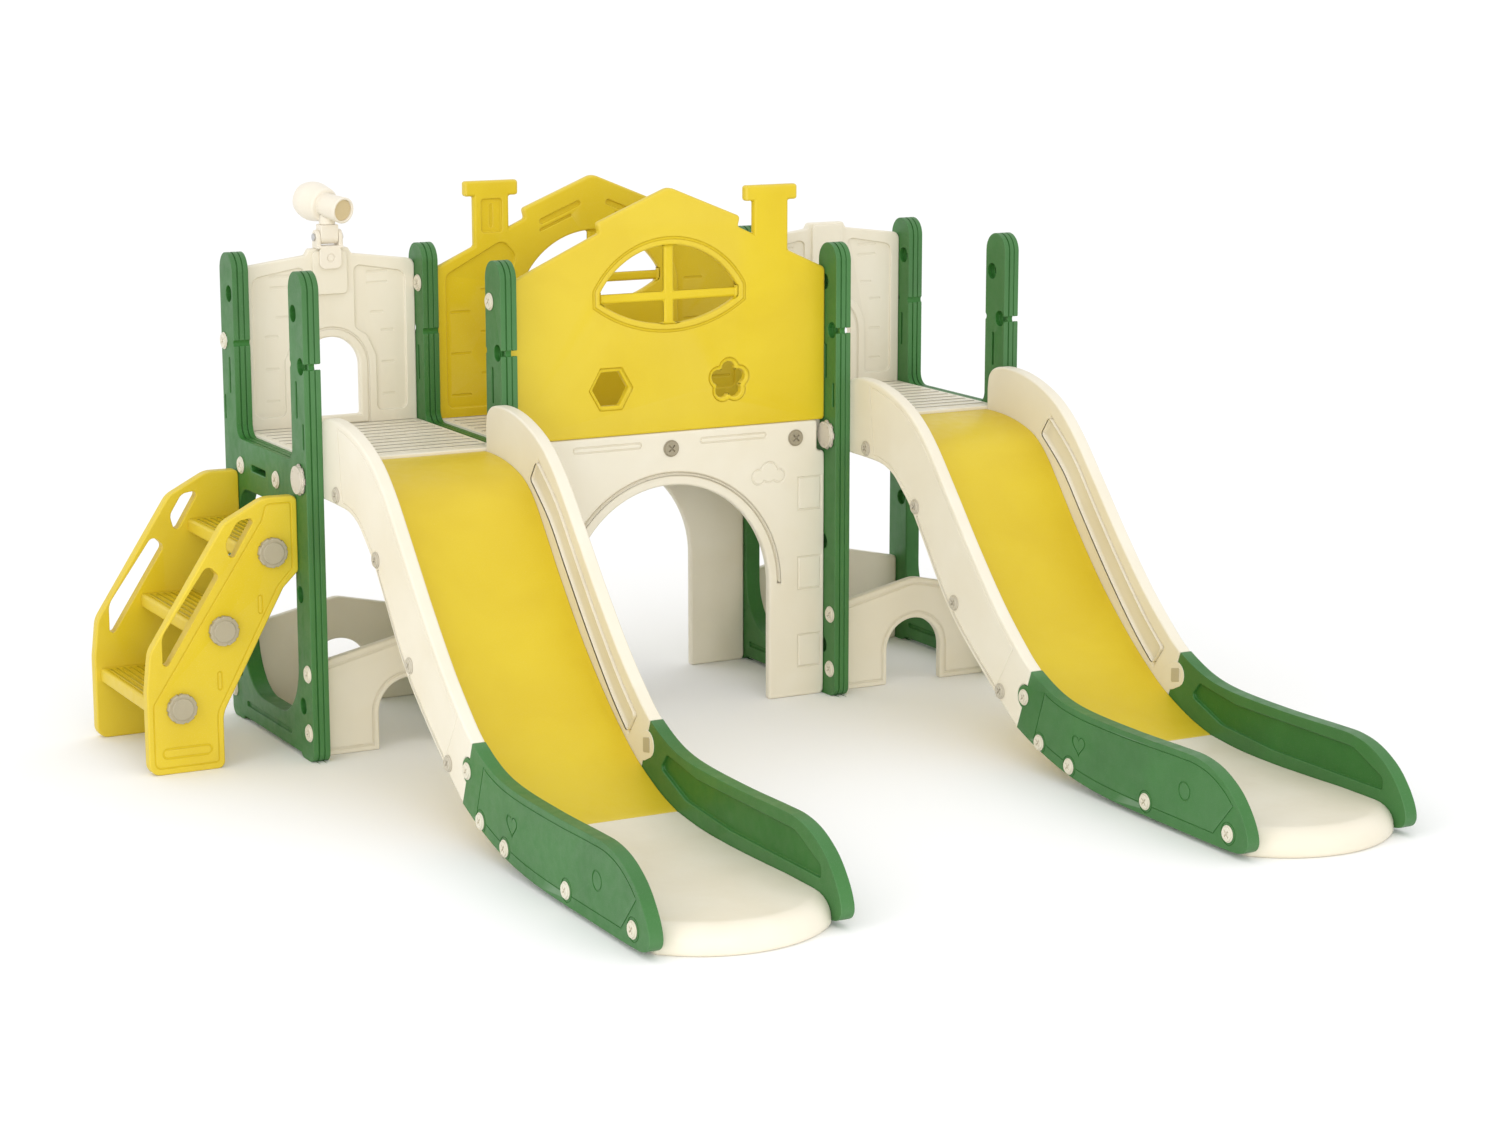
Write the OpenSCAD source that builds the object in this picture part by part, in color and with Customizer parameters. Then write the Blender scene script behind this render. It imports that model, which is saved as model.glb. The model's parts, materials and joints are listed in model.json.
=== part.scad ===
// Toddler play set: two towers joined by a house bridge, two wave slides, a ladder and a telescope.
// Layout axes: X runs along the row of four side frames, the slides run out towards -Y, Z is up.
// The origin is the middle of the footprint at floor level.

/* [Towers and bridge] */
// Height of the side frame posts
post_h = 1100; // [1040:10:1160]
// Width of each tower, from frame centre to frame centre
tower_w = 470; // [450:5:500]
// Width of the house bridge, from frame centre to frame centre
bridge_w = 865; // [850:5:900]
// Distance between front and back post centres
post_gap = 455; // [445:5:480]
// Height of the decks above the floor
deck_z = 680; // [670:5:690]
// Thickness of each deck
deck_t = 36; // [28:1:44]

/* [Side frames] */
// Thickness of a frame along X
frame_t = 40; // [34:1:46]
// Width of a post along Y
post_w = 86; // [80:1:92]
// Height of the crossbar's lower edge
crossbar_low = 560; // [540:5:575]
// Height of the bottom bar's upper edge
bottom_bar_z = 80; // [60:5:90]

/* [Panels] */
// Thickness of the blow-moulded panels
panel_t = 22; // [18:1:26]
// Distance of the house and low front panels behind the post centre line
panel_setback = 10; // [6:1:12]
// Distance of the tower back panels behind the post centre line
tower_back_shift = 5; // [0:1:10]
// Radius of the big arch under the house
arch_r = 262; // [240:1:275]
// Radius of the small arches near the floor
low_arch_r = 76; // [60:1:85]
// Half width of the tower windows
tower_window_r = 72; // [60:1:80]

/* [Slides] */
// Thickness of a slide side wall
wall_t = 30; // [24:1:34]
// Thickness of the sliding surface
bed_t = 26; // [18:1:28]
// Y position of the seam between the upper bed and the run-out
seam_y = -975; // [-990:1:-960]
// Radius of the rounded nose in plan
nose_r = 254; // [240:1:270]

/* [Ladder] */
// Rise from one tread to the next
tread_rise = 165; // [155:1:170]
// Depth of a tread along X
tread_d = 128; // [110:1:134]
// Thickness of a tread
tread_t = 32; // [26:1:34]
// Distance between the inner faces of the ladder sides
ladder_w = 356; // [340:1:360]
// Thickness of a ladder side
ladder_side_t = 30; // [24:1:34]

/* [Telescope] */
// Diameter of the eyepiece tube
eye_d = 62; // [54:1:64]
// Diameter of the objective bulb
bulb_d = 92; // [84:1:94]
// Diameter of the tilt pin
tilt_pin_d = 10; // [8:0.5:11]
// Turn of the telescope away from straight back
scope_turn = 19; // [0:1:40]

/* [Fasteners] */
// Diameter of the screw caps
cap_d = 40; // [36:1:41]
// Thickness of the screw caps
cap_t = 6; // [4:0.5:8]
// Diameter of the large clamp knobs
knob_d = 71; // [66:1:72]
// Width across corners of the ladder nuts
nut_d = 72; // [64:1:76]

/* [Hidden] */
$fn = 64;

green = [0.13, 0.42, 0.24];
yellow = [0.93, 0.80, 0.22];
cream = [0.93, 0.90, 0.80];
grey = [0.72, 0.69, 0.64];

// Frame centre planes along X, and faces of the frames
frame_x = [0, tower_w, tower_w + bridge_w, 2*tower_w + bridge_w];
half_t = frame_t/2;
half_post = post_w/2;
back_y = post_gap;
crossbar_top = deck_z - 5;
bar_low = 10;

// Clear widths between neighbouring frames
tower_clear = tower_w - frame_t;
bridge_clear = bridge_w - frame_t;
bridge_mid = tower_w + bridge_w/2;

// Panel faces: the house back panels mirror the front ones about the middle of the frame depth
front_y = panel_setback;
back_panel_y = post_gap - panel_setback - panel_t;
tower_back_y = post_gap + tower_back_shift;

// Slide: rear end of walls and bed, joint between wall and skirt
slide_rear_y = -17;
joint_top = [-850, 229];
joint_low = [-795, 90];
joint_tab = [-824, 165];
nose_y = -1441;
nose_z = 58;

// Telescope: tilt pin, tube and the direction in which it points
bulb_far = 84;
bulb_near = 6;
eye_out = 62;
tube_lift = 8;
pin_y = tower_back_y + panel_t/2 - 5;
tube_outline = concat([[0, bulb_far]],
    smooth([[26, bulb_far], [38, bulb_far - 6], [bulb_d/2, bulb_far - 34],
        [bulb_d/2 - 4, bulb_near + 14], [eye_d/2 + 7, bulb_near], [eye_d/2 - 3, bulb_near - 2]]),
    [[eye_d/2 - 2, -20], [eye_d/2, -eye_out], [eye_d/2 - 6, -eye_out], [eye_d/2 - 6, 8 - eye_out],
     [0, 8 - eye_out]]);
tube_back = cos(scope_turn)*cos(tube_lift);
tube_side = sqrt(1 - tube_back*tube_back);

// Overall footprint, used to centre the layout on the origin
ladder_left = -378;
knob_t = 12;
right_most = frame_x[3] + half_t + knob_t;
nose_tip_y = nose_y - nose_r;
back_most = pin_y + max([for (p = tube_outline) p[1]*tube_back + p[0]*tube_side]);
centre = [(ladder_left + right_most)/2, (nose_tip_y + back_most)/2, 0];

// ---------- Helpers ----------

// Moves the layout so that the middle of the footprint is the origin
module placed() {
    translate(-centre) children();
}

// Extrudes an outline drawn in Y and Z, from x0 over t along +X
module along_x(x0, t) {
    translate([x0, 0, 0]) rotate([90, 0, 90]) linear_extrude(t) children();
}

// Extrudes an outline drawn in X and Z, from y0 over t along +Y
module along_y(y0, t) {
    translate([0, y0 + t, 0]) rotate([90, 0, 0]) linear_extrude(t) children();
}

// Cylinder of radius r along +X or +Y, starting at point p
module rod_x(p, r, t) {
    translate(p) rotate([0, 90, 0]) cylinder(r = r, h = t);
}
module rod_y(p, r, t) {
    translate(p) rotate([-90, 0, 0]) cylinder(r = r, h = t);
}

// Rectangle with round corners, from its lower left corner
module round_rect(w, h, r) {
    translate([r, 0]) square([w - 2*r, h]);
    translate([0, r]) square([w, h - 2*r]);
    for (x = [r, w - r], y = [r, h - r]) translate([x, y]) circle(r);
}

// Slot with round ends, centred, of length l and width w, along the first axis
module slot(l, w) {
    square([l - w, w], center = true);
    for (side = [-1, 1]) translate([side*(l - w)/2, 0]) circle(w/2);
}

// Points of an arc that rounds the corner b between a and c with radius r
function corner_arc(a, b, c, r, steps = 6) =
    let (u = (a - b)/norm(a - b), v = (c - b)/norm(c - b),
         half = acos(max(-1, min(1, u*v)))/2,
         reach = r/tan(half),
         mid = (u + v)/norm(u + v),
         hub = b + mid*r/sin(half),
         p = b + u*reach - hub,
         q = b + v*reach - hub,
         start = atan2(p[1], p[0]),
         raw = atan2(q[1], q[0]) - start,
         sweep = raw > 180 ? raw - 360 : raw < -180 ? raw + 360 : raw)
    [for (i = [0:steps]) hub + r*[cos(start + sweep*i/steps), sin(start + sweep*i/steps)]];

// Closed outline whose corners are rounded; every row of pts is [x, y, radius]
function rounded(pts) =
    let (n = len(pts))
    [for (i = [0:n - 1])
        let (a = pts[(i + n - 1) % n], b = pts[i], c = pts[(i + 1) % n])
        each corner_arc([a[0], a[1]], [b[0], b[1]], [c[0], c[1]], b[2])];

// Smooth curve through a list of points, with a number of steps for each span
function curve_point(a, b, c, d, t) =
    0.5*(2*b + (c - a)*t + (2*a - 5*b + 4*c - d)*t*t + (3*b - a - 3*c + d)*t*t*t);
function smooth(pts, steps = 5) =
    let (n = len(pts))
    [for (i = [0:n - 2], k = [0:steps - 1])
        curve_point(pts[max(i - 1, 0)], pts[i], pts[i + 1], pts[min(i + 2, n - 1)], k/steps),
     pts[n - 1]];

// Copy of an open line moved sideways by d, to the left of its direction
function beside(line, d) =
    let (n = len(line))
    [for (i = [0:n - 1])
        let (u = line[min(i + 1, n - 1)] - line[max(i - 1, 0)])
        line[i] + d*[-u[1], u[0]]/norm(u)];

// Copy of a closed outline moved inwards by d; the outline runs counter-clockwise
function inside(outline, d) =
    let (n = len(outline))
    [for (i = [0:n - 1])
        let (u = outline[(i + 1) % n] - outline[(i + n - 1) % n])
        outline[i] + d*[-u[1], u[0]]/norm(u)];

function backwards(line) = [for (i = [len(line) - 1:-1:0]) line[i]];

// ---------- Side frames ----------

hole_r = 19;
bolt_r = 8;
hole_depth = 13;
ridge_depth = 3;
ridge_t = 12;
middle_ridge_t = 10;
hole_shift = 16;
edge_hole_shift = 22;
edge_notch_r = 8;
post_holes_z = [1006, 377, 121];
edge_hole_z = 893;

module post_outline(y, inset) {
    r = half_post - inset;
    translate([y - r, foot_round]) square([2*r, post_h - half_post - foot_round]);
    translate([y, post_h - half_post]) circle(r);
}

// Feet with rounded lower corners, one under each post
foot_round = 24;
module foot_outline(y, inset) {
    translate([y - half_post + inset, 0]) round_rect(post_w - 2*inset, 3*foot_round, foot_round);
}

// Web between the posts, with rounded corners where the crossbar meets them
upper_fillet = 30;
module web_outline(inset) {
    top = crossbar_top - inset;
    translate([0, bar_low]) square([back_y, top - bar_low]);
    for (side = [0, 1]) {
        edge = side == 0 ? half_post - inset : back_y - half_post + inset;
        turn = side == 0 ? 1 : -1;
        difference() {
            translate([side == 0 ? edge : edge - upper_fillet, top]) square(upper_fillet);
            translate([edge + turn*upper_fillet, top + upper_fillet]) circle(upper_fillet);
        }
    }
}

module frame_outline(inset) {
    for (y = [0, back_y]) {
        post_outline(y, inset);
        foot_outline(y, inset);
    }
    web_outline(inset);
}

// Opening between crossbar and bottom bar: wide round lower corners
low_round = 130;
high_round = 60;
module lower_opening() {
    w = post_gap - post_w;
    h = crossbar_low - bottom_bar_z;
    translate([half_post, bottom_bar_z]) {
        translate([0, low_round]) square([w, h - low_round - high_round]);
        translate([low_round, 0]) square([w - 2*low_round, h]);
        translate([high_round, h - high_round - 1]) square([w - 2*high_round, high_round + 1]);
        for (y = [low_round, w - low_round]) translate([y, low_round]) circle(low_round);
        for (y = [high_round, w - high_round]) translate([y, h - high_round]) circle(high_round);
    }
}

// Narrow slots that go through: two in each post, one in the crossbar
post_slot = [83, 9];
edge_slot = [58, 8];
bar_slot = [98, 14];
module frame_slots() {
    for (y = [0, back_y]) {
        outer = y == 0 ? -1 : 1;
        translate([y - outer*8, 816]) rotate(90) slot(post_slot[0], post_slot[1]);
        translate([y + outer*30, 738]) rotate(90) slot(edge_slot[0], edge_slot[1]);
    }
    translate([272, 617]) slot(bar_slot[0], bar_slot[1]);
}

// Stepped screw hole: a wide recess from both faces and a bolt hole through
module stepped_hole(x, y, z) {
    rod_x([x - half_t - 1, y, z], bolt_r, frame_t + 2);
    rod_x([x - half_t - 1, y, z], hole_r, hole_depth + 1);
    rod_x([x + half_t - hole_depth, y, z], hole_r, hole_depth + 1);
}

module side_frame(x) {
    color(green) placed() difference() {
        union() {
            along_x(x - half_t + 1, frame_t - 2) frame_outline(ridge_depth);
            for (start = [-half_t, half_t - ridge_t]) along_x(x + start, ridge_t) frame_outline(0);
            along_x(x - middle_ridge_t/2, middle_ridge_t) frame_outline(0);
        }
        along_x(x - half_t - 1, frame_t + 2) lower_opening();
        along_x(x - half_t - 1, frame_t + 2) frame_slots();
        for (z = post_holes_z, y = [hole_shift, back_y - hole_shift]) stepped_hole(x, y, z);
        for (y = [-edge_hole_shift, back_y + edge_hole_shift]) stepped_hole(x, y, edge_hole_z);
        for (post = [0, back_y], side = [-1, 1])
            rod_x([x - half_t - 1, post + side*(half_post + 3), edge_hole_z], edge_notch_r, frame_t + 2);
        for (face = [x - half_t - 1, x + half_t - 5])
            along_x(face, 6) translate([post_gap/2 + 20, bottom_bar_z/2 + 5]) slot(300, 12);
    }
}

module side_frame_1() { side_frame(frame_x[0]); }
module side_frame_2() { side_frame(frame_x[1]); }
module side_frame_3() { side_frame(frame_x[2]); }
module side_frame_4() { side_frame(frame_x[3]); }

// ---------- Decks ----------

slat_pitch = 42;
slat_gap = 7;
slat_depth = 3;
cell_depth = 5;

// Deck with cross grooves on top and six shallow fields underneath
module deck(x0, w, y0, y1) {
    color(cream) placed() difference() {
        translate([x0, y0, deck_z - deck_t]) cube([w, y1 - y0, deck_t]);
        for (y = [y0 + slat_pitch:slat_pitch:y1 - 10])
            translate([x0 + 14, y - slat_gap/2, deck_z - slat_depth])
                cube([w - 28, slat_gap, slat_depth + 1]);
        for (i = [0:2], j = [0:1]) {
            cell = [(w - 48)/3, (y1 - y0 - 36)/2];
            translate([x0 + 12 + i*(cell[0] + 12), y0 + 12 + j*(cell[1] + 12), deck_z - deck_t - 1])
                cube([cell[0], cell[1], cell_depth + 1]);
        }
    }
}

module deck_left() { deck(half_t, tower_clear, slide_rear_y, tower_back_y); }
module deck_house() {
    deck(frame_x[1] + half_t, bridge_clear, front_y + panel_t, back_panel_y);
}
module deck_right() { deck(frame_x[2] + half_t, tower_clear, slide_rear_y, tower_back_y); }

// ---------- Tower back panels ----------

boss_half = 49;
boss_low = 989;
boss_top = 1097;
boss_out = 7;
boss_margin = 6;
tower_panel_low = deck_z - deck_t;
window_low = 700;
window_spring = 815;

// Outline with a low gable and a flat boss in the middle, drawn about its centre
module tower_panel_outline(w) {
    polygon(rounded([[-w/2, tower_panel_low, 8], [w/2, tower_panel_low, 8], [w/2, 1062, 18],
        [boss_half + 8, 1082, 10], [boss_half, boss_top, 8],
        [-boss_half, boss_top, 8], [-boss_half - 8, 1082, 10], [-w/2, 1062, 18]]));
}

module window_outline(grow) {
    r = tower_window_r + grow;
    translate([-r, window_low - grow]) square([2*r, window_spring - window_low + grow]);
    translate([0, window_spring]) circle(r);
}

// Sunken field that wraps round one side of the window on the inner face, and its brick lines
field_corners = [[62, 1056, 14], [62, 906, 14], [92, 886, 25], [114, 838, 30], [114, 706, 14],
    [190, 706, 16], [190, 1034, 22]];
module tower_field(side) {
    polygon(rounded([for (p = field_corners) [side*p[0], p[1], p[2]]]));
}
module tower_bricks() {
    for (spot = [[145, 744], [145, 820], [145, 896], [118, 940]], side = [-1, 1])
        translate([side*spot[0], spot[1]]) slot(34, 6);
    for (x = [-120, 120], z = [1010, 1036]) translate([x, z]) slot(54, 6);
}

module tower_panel(x_mid) {
    color(cream) placed() translate([x_mid, 0, 0]) difference() {
        union() {
            along_y(tower_back_y, panel_t) tower_panel_outline(tower_clear);
            along_y(tower_back_y - boss_out, boss_out + panel_t/2)
                translate([boss_margin - boss_half, boss_low])
                    round_rect(2*(boss_half - boss_margin), boss_top - boss_low - boss_margin, 12);
        }
        along_y(tower_back_y - 1, panel_t + 2) window_outline(0);
        for (side = [-1, 1]) along_y(tower_back_y - 1, 6) tower_field(side);
        along_y(tower_back_y - 1, 7.5) tower_bricks();
        along_y(tower_back_y - 1, 3.5) difference() {
            window_outline(24);
            window_outline(19);
        }
    }
}

module tower_panel_left() { tower_panel(tower_w/2); }
module tower_panel_right() { tower_panel(frame_x[2] + tower_w/2); }

// ---------- House panels ----------

roof_low = 1040;
roof_step = [185, 1147];
roof_lift = 24;
roof_top = 1246;
chimney_x = 267;
chimney_w = 90;
chimney_cap = [138, 36];
chimney_top = 1241;
house_window_top = 1112;
house_window_low = 930;
house_window_half = 187;
mullion = 26;
mullion_t = 10;
shape_hole_z = 786;
shape_hole_x = 154;
shape_hole_r = 46;

module house_outline() {
    w = bridge_clear/2;
    polygon(rounded([[-w, crossbar_top, 8], [w, crossbar_top, 8], [w, roof_low, 14],
        [roof_step[0] - 6, roof_step[1], 7], [roof_step[0], roof_step[1] + roof_lift, 9],
        [0, roof_top, 34],
        [-roof_step[0], roof_step[1] + roof_lift, 9], [6 - roof_step[0], roof_step[1], 7],
        [-w, roof_low, 14]]));
    translate([chimney_x - chimney_w/2, roof_low - 10])
        square([chimney_w, chimney_top - roof_low - 10]);
    translate([chimney_x - chimney_cap[0]/2, chimney_top - chimney_cap[1]])
        round_rect(chimney_cap[0], chimney_cap[1], 7);
}

// Almond window: the overlap of a small upper and a large lower circle
function arc_radius(half, rise) = (half*half + rise*rise)/(2*rise);
window_mid = 992;
upper_r = arc_radius(house_window_half, house_window_top - window_mid);
lower_r = arc_radius(house_window_half, window_mid - house_window_low);
module house_window(grow) {
    intersection() {
        translate([0, house_window_top - upper_r]) circle(upper_r + grow, $fn = 128);
        translate([0, house_window_low + lower_r]) circle(lower_r + grow, $fn = 128);
        translate([-house_window_half - grow + 9, house_window_low - 50])
            square([2*(house_window_half + grow) - 18, 300]);
    }
}

module hexagon_hole(grow) {
    translate([-shape_hole_x, shape_hole_z]) circle(shape_hole_r + grow, $fn = 6);
}

// Five petals around a middle
module flower_hole(grow) {
    translate([shape_hole_x, shape_hole_z]) {
        circle(31 + grow);
        for (a = [90:72:378]) rotate(a) translate([28, 0]) circle(17 + grow);
    }
}

// Moulded recesses of the inner face: two fields under the roof slopes, roof slots and a chimney field
house_field_corners = [[228, 702, 14], [388, 702, 16], [388, 1022, 20], [238, 1100, 26], [204, 1060, 20],
    [228, 990, 30]];
roof_slope = atan((roof_top - roof_step[1] - roof_lift)/roof_step[0]);
module house_inner_fields() {
    for (side = [-1, 1]) {
        polygon(rounded([for (p = house_field_corners) [side*p[0], p[1], p[2]]]));
        translate([side*88, 1158]) rotate(-side*roof_slope) slot(116, 13);
        translate([side*100, 1134]) rotate(-side*roof_slope) slot(90, 6);
    }
    translate([chimney_x - 27, 1118]) round_rect(54, 80, 8);
}

// Short brick lines at the bottom of the fields
module house_bricks() {
    for (row = [0:5], side = [-1, 1]) translate([side*(row % 2 == 0 ? 350 : 272), 732 + row*50]) slot(52, 6);
    translate([chimney_x, 1158]) rotate(90) slot(56, 8);
}

// The panel faces -Y; the back one is turned half a circle about the vertical
module house_panel() {
    difference() {
        along_y(0, panel_t) house_outline();
        difference() {
            along_y(-1, panel_t + 2) house_window(0);
            along_y((panel_t - mullion_t)/2, mullion_t) {
                translate([-mullion/2, house_window_low - 5]) square([mullion, 200]);
                translate([-house_window_half, window_mid - mullion/2 + 4])
                    square([2*house_window_half, mullion - 4]);
            }
        }
        along_y(-1, 4) difference() {
            house_window(20);
            house_window(14);
        }
        along_y(-1, panel_t + 2) hexagon_hole(0);
        along_y(-1, panel_t + 2) flower_hole(0);
        along_y(-1, 4) hexagon_hole(10);
        along_y(-1, 4) flower_hole(9);
        along_y(panel_t - 6, 7) house_inner_fields();
        along_y(panel_t - 8, 9) house_bricks();
    }
}

module house_panel_front() {
    color(yellow) placed() translate([bridge_mid, front_y, 0]) house_panel();
}
module house_panel_back() {
    color(yellow) placed() translate([bridge_mid, back_panel_y + panel_t, 0]) rotate(180) house_panel();
}

// ---------- Arch panels under the house ----------

arch_spring = 286;
arch_top = crossbar_top;
arch_slot = [178, 16];
arch_slot_x = 165;
arch_slot_z = 648;
brick = [64, 82];
knob_notch = [20, 600];

// Outline with a notch for a clamp knob in each upper corner
module arch_outline() {
    w = bridge_clear/2;
    in = w - knob_notch[0];
    low = knob_notch[1];
    difference() {
        polygon(rounded([[-w, 0, 12], [w, 0, 12], [w, low, 8], [in, low, 9], [in, arch_top, 8],
            [-in, arch_top, 8], [-in, low, 9], [-w, low, 8]]));
        translate([-arch_r, -1]) square([2*arch_r, arch_spring + 1]);
        translate([0, arch_spring]) circle(arch_r, $fn = 128);
    }
}

// Raised line that follows the arch
module arch_line() {
    difference() {
        circle(arch_r + 30, $fn = 128);
        circle(arch_r + 24, $fn = 128);
        translate([-arch_r - 60, -arch_r - 60]) square([2*arch_r + 120, arch_r + 60]);
    }
}

// Cloud made of three round lobes on a flat base
module cloud(grow) {
    for (lobe = [[-24, 0, 20], [4, 10, 26], [30, 0, 18]])
        translate([lobe[0], lobe[1]]) circle(lobe[2] + grow);
}

module arch_panel() {
    difference() {
        along_y(0, panel_t) arch_outline();
        for (side = [-1, 1]) along_y(-1, 4) translate([side*arch_slot_x, arch_slot_z]) difference() {
            slot(arch_slot[0], arch_slot[1]);
            slot(arch_slot[0] - 8, arch_slot[1] - 8);
        }
        along_y(-1, 3.5) translate([0, arch_spring]) arch_line();
        along_y(-1, 3.5) translate([258, 548]) difference() {
            cloud(0);
            cloud(-4);
        }
        for (z = [72, 264, 458], side = [-1, 1])
            along_y(-1, 3.5) translate([side*372 - brick[0]/2, z]) difference() {
                square(brick);
                translate([4, 4]) square([brick[0] - 8, brick[1] - 8]);
            }
    }
}

module arch_panel_front() {
    color(cream) placed() translate([bridge_mid, front_y, 0]) arch_panel();
}
module arch_panel_back() {
    color(cream) placed() translate([bridge_mid, back_panel_y + panel_t, 0]) rotate(180) arch_panel();
}

// ---------- Low panels at the floor ----------

low_edge_z = 218;
low_peak_z = 264;
low_spring = 85;

module low_panel_outline(inset) {
    w = tower_clear/2 - inset;
    difference() {
        polygon(rounded([[-w, inset, 8], [w, inset, 8], [w, low_edge_z - inset, 10],
            [0, low_peak_z - inset, 60], [-w, low_edge_z - inset, 10]]));
        translate([-low_arch_r - inset, -1]) square([2*(low_arch_r + inset), low_spring + 1]);
        translate([0, low_spring]) circle(low_arch_r + inset);
    }
}

module low_panel() {
    difference() {
        along_y(0, panel_t) low_panel_outline(0);
        along_y(-1, 4) difference() {
            low_panel_outline(12);
            low_panel_outline(17);
        }
    }
}

module low_panel_front(x_mid) {
    color(cream) placed() translate([x_mid, front_y, 0]) low_panel();
}
module low_panel_rear(x_mid) {
    color(cream) placed() translate([x_mid, tower_back_y + panel_t, 0]) rotate(180) low_panel();
}
module low_panel_left_front() { low_panel_front(tower_w/2); }
module low_panel_left_back() { low_panel_rear(tower_w/2); }
module low_panel_right_front() { low_panel_front(frame_x[2] + tower_w/2); }
module low_panel_right_back() { low_panel_rear(frame_x[2] + tower_w/2); }

// ---------- Slides ----------

// Wave line of the sliding surface, from the deck down to the seam
bed_line = smooth([[slide_rear_y, 672], [-60, 672], [-120, 668], [-185, 656], [-240, 636], [-290, 598],
    [-350, 530], [-423, 445], [-532, 330], [-645, 232], [-740, 163], [-808, 124],
    [-897, 87], [seam_y, 66]]);
// Run-out surface from the seam to the start of the nose
runout_line = smooth([[seam_y, 66], [-1078, 56], [-1200, 53], [-1335, 55], [nose_y, nose_z]]);

// Upper edge of the cream wall, with the high round hand hold at the deck
wall_top = smooth([[slide_rear_y, 724], [-24, 758], [-52, 778], [-105, 784], [-180, 777],
    [-260, 755], [-330, 721], [-400, 664], [-490, 567], [-590, 456], [-700, 345],
    [-800, 262], joint_top]);
// Lower edge of the cream wall, from the joint back to the deck
wall_low = smooth([joint_low, [-675, 167], [-570, 242], [-506, 295], [-442, 366], [-373, 452],
    [-324, 509], [-279, 548], [-240, 576], [-185, 593], [-100, 597], [slide_rear_y, 598]]);
// Outline of the green skirt, from the joint over the top and round the nose
skirt_edge = smooth([joint_top, [-899, 208], [-950, 192], [-1010, 182], [-1100, 177],
    [-1250, 176], [-1400, 179], [-1470, 178], [-1530, 165], [-1585, 136], [-1622, 100],
    [-1646, 62], [-1650, 32], [-1626, 14], [-1560, 10], [-1400, 10], [-1200, 12],
    [-1080, 19], [-978, 34], [-879, 60], joint_low]);

tab_r = 27;
tab_gap = 0.5;
recess_t = 8;

// Screws in the outer faces, as [y, z]
slide_cap_spots = [[-120, 620], [-348, 516], [-525, 322], [-726, 158], joint_tab,
    [-888, 76], [-1007, 50], [-1295, 42], [-1585, 46]];

// Fine closed line moulded into the outer faces of walls and skirts; it stops at each screw
line_w = 2.5;
line_depth = 1.5;
ring_r = 22;
module panel_line(outline) {
    difference() {
        polygon(outline);
        polygon(inside(outline, line_w));
        for (spot = slide_cap_spots) translate(spot) circle(ring_r);
    }
}
function part_of(line, first, last) = [for (i = [first:last]) line[i]];

module bed_section() {
    polygon(concat(bed_line, backwards(beside(bed_line, bed_t))));
}

module slide_bed(x) {
    color(yellow) placed()
        along_x(x + half_t + wall_t, tower_clear - 2*wall_t) bed_section();
}

// Section of the run-out: thin at the seam, standing on the floor near the nose
module runout_section() {
    polygon(concat(runout_line, [[nose_y, 0], [-1330, 4], [-1160, 18], [seam_y, 66 - bed_t]]));
}

// Round nose: a flat disc whose rim rolls down to the floor
roll = 40;
module nose_profile() {
    polygon(concat([[0, 0], [nose_r - 6, 0], [nose_r, 8]],
        [for (a = [0:15:90]) [nose_r - roll + roll*cos(a), nose_z - roll + roll*sin(a)]],
        [[0, nose_z]]));
}

module slide_runout(x) {
    inner = tower_clear - 2*wall_t;
    color(cream) placed() union() {
        along_x(x + half_t + wall_t, inner) runout_section();
        intersection() {
            translate([x + tower_w/2, nose_y, 0]) rotate_extrude($fn = 128) nose_profile();
            translate([x + half_t + wall_t, nose_y - nose_r - 1, -1])
                cube([inner, nose_r + 1, nose_z + 2]);
        }
    }
}

module wall_outline() {
    difference() {
        polygon(concat(wall_top, wall_low));
        translate(joint_tab) circle(tab_r + tab_gap);
    }
}

// Sunken field on a wall face, following the wall between two points
wall_field_top = smooth([[-300, 690], [-400, 612], [-490, 512], [-590, 402], [-700, 292], [-780, 225]]);
wall_field_w = 56;
module wall_field() {
    polygon(concat(beside(wall_field_top, wall_field_w), backwards(wall_field_top)));
}

// Line on the outer face, a little inside the upper and lower edges of the wall
wall_line = concat(beside(part_of(wall_top, 17, 54), 13), beside(part_of(wall_low, 4, 47), 13));

module slide_wall(x, side) {
    x0 = side < 0 ? x + half_t : x + tower_w - half_t - wall_t;
    inner_face = side < 0 ? x0 + wall_t - 5 : x0 - 1;
    outer_face = side < 0 ? x0 - 1 : x0 + wall_t - line_depth;
    color(cream) placed() difference() {
        along_x(x0, wall_t) wall_outline();
        along_x(inner_face, 6) wall_field();
        along_x(outer_face, line_depth + 1) panel_line(wall_line);
    }
}

module skirt_outline() {
    polygon(skirt_edge);
    translate(joint_tab) circle(tab_r);
}

// Sunken field of the skirt's inner face
module skirt_field() {
    polygon(rounded([[-925, 172, 10], [-1060, 152, 80], [-1470, 152, 60], [-1572, 108, 14],
        [-1572, 82, 8], [-1200, 82, 80], [-1010, 96, 60], [-895, 138, 10]]));
}

// Heart outline from the usual sine and cosine formula, size is half its width
function heart(size) = [for (a = [0:12:348])
    size/16*[16*pow(sin(a), 3), 13*cos(a) - 5*cos(2*a) - 2*cos(3*a) - cos(4*a)]];

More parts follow.
